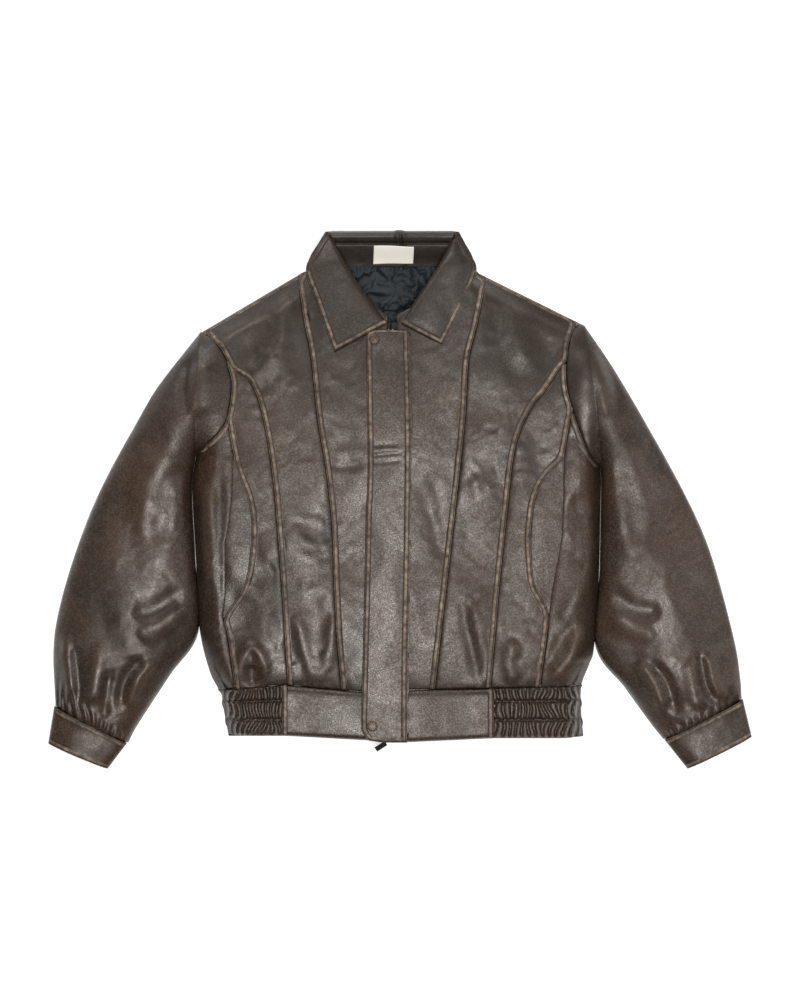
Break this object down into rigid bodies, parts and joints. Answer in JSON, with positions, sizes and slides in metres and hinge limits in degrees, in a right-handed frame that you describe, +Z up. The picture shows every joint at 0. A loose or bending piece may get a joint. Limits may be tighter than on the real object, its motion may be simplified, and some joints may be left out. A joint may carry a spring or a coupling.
{
  "type": "leather riding jacket",
  "caption": "Distressed brown leather riding jacket lying flat, with a spread collar, a zip under a snap-fastened storm flap, curved pockets, a part-elastic waistband and set-in sleeves.",
  "frame": {"origin": "middle of the floor area that the flat-laid jacket covers, at floor level", "axes": "+Y towards the collar, +X towards the wearer's left, +Z up, out of the jacket's front"},
  "size_m": [0.989, 0.755, 0.0498],
  "materials": {
    "leather": "distressed dark brown leather, satin, rubbed tan on its seams and edges",
    "lining_cloth": "slate satin lining",
    "zip_tape": "woven dark tape",
    "zip_metal": "bright nickel-plated metal",
    "gunmetal": "dark gunmetal plating",
    "snap_cap": "metal cap in worn dark brown enamel"
  },
  "bodies": {
    "root": {"back_panel": "leather", "collar_fall": "leather", "collar_stand": "leather", "front_middle_left": "leather", "front_middle_right": "leather", "front_side_left": "leather", "front_side_right": "leather", "lining_back": "lining_cloth", "lining_front_left": "lining_cloth", "lining_front_right": "lining_cloth", "pocket_bag_left": "lining_cloth", "pocket_bag_right": "lining_cloth", "pocket_facing_left": "leather", "pocket_facing_right": "leather", "side_panel_left": "leather", "side_panel_right": "leather", "sleeve_head_left": "leather", "sleeve_head_right": "leather", "waistband_back": "leather", "waistband_elastic_left": "leather", "waistband_elastic_right": "leather", "waistband_front_left": "leather", "waistband_front_right": "leather"},
    "front_left": {"collar_wing_top_left": "leather", "collar_wing_under_left": "leather", "facing_left": "leather", "flap_root": "leather", "front_centre_left": "leather", "retainer_box": "zip_metal", "top_stop_left": "zip_metal", "waistband_end_left": "leather", "zip_tape_left": "zip_tape", "zip_teeth_left": "zip_metal"},
    "front_right": {"collar_wing_top_right": "leather", "collar_wing_under_right": "leather", "facing_right": "leather", "front_centre_right": "leather", "insertion_pin": "zip_metal", "snap_stud_lower": "gunmetal", "snap_stud_upper": "gunmetal", "top_stop_right": "zip_metal", "waistband_end_right": "leather", "zip_tape_right": "zip_tape", "zip_teeth_right": "zip_metal"},
    "flap": {"flap_lining": "leather", "flap_outer": "leather", "snap_cap_lower": "snap_cap", "snap_cap_upper": "snap_cap", "snap_socket_lower": "gunmetal", "snap_socket_upper": "gunmetal"},
    "slider": {"zip_slider": "zip_metal"},
    "pull": {"pull_tab": "gunmetal"},
    "sleeve_left": {"cuff_left": "leather", "sleeve_lining_left": "lining_cloth", "sleeve_under_left": "leather", "sleeve_upper_left": "leather"},
    "sleeve_right": {"cuff_right": "leather", "sleeve_lining_right": "lining_cloth", "sleeve_under_right": "leather", "sleeve_upper_right": "leather"}
  },
  "joints": [
    {"name": "front_left_open", "type": "hinge", "parent": "root", "child": "front_left", "pos_m": [0.0495, -0.262, 0.0384], "axis": [0.129, 0.9916, 0], "range_deg": [0, 105]},
    {"name": "front_right_open", "type": "hinge", "parent": "root", "child": "front_right", "pos_m": [-0.0825, -0.262, 0.0384], "axis": [0.1116, -0.9937, 0], "range_deg": [0, 105]},
    {"name": "flap_open", "type": "hinge", "parent": "front_left", "child": "flap", "pos_m": [0.0075, -0.332, 0.0473], "axis": [0.0035, 1, 0], "range_deg": [0, 95]},
    {"name": "zip_slide", "type": "slide", "parent": "front_left", "child": "slider", "axis": [0.0113, 0.9999, 0], "range_m": [0, 0.54]},
    {"name": "pull_swing", "type": "hinge", "parent": "slider", "child": "pull", "pos_m": [-0.0195, -0.339, 0.0415], "axis": [0, 0, 1], "range_deg": [-30, 50]},
    {"name": "sleeve_right_fold", "type": "hinge", "parent": "root", "child": "sleeve_right", "pos_m": [-0.279, 0.237, 0.0445], "axis": [0.0569, 0.9984, 0], "range_deg": [0, 90]},
    {"name": "sleeve_left_fold", "type": "hinge", "parent": "root", "child": "sleeve_left", "pos_m": [0.2585, 0.247, 0.0445], "axis": [0.1349, -0.9909, 0], "range_deg": [0, 90]}
  ],
  "couplings": [
    {"joint": "front_right_open", "follows": "front_left_open", "ratio": 1}
  ]
}
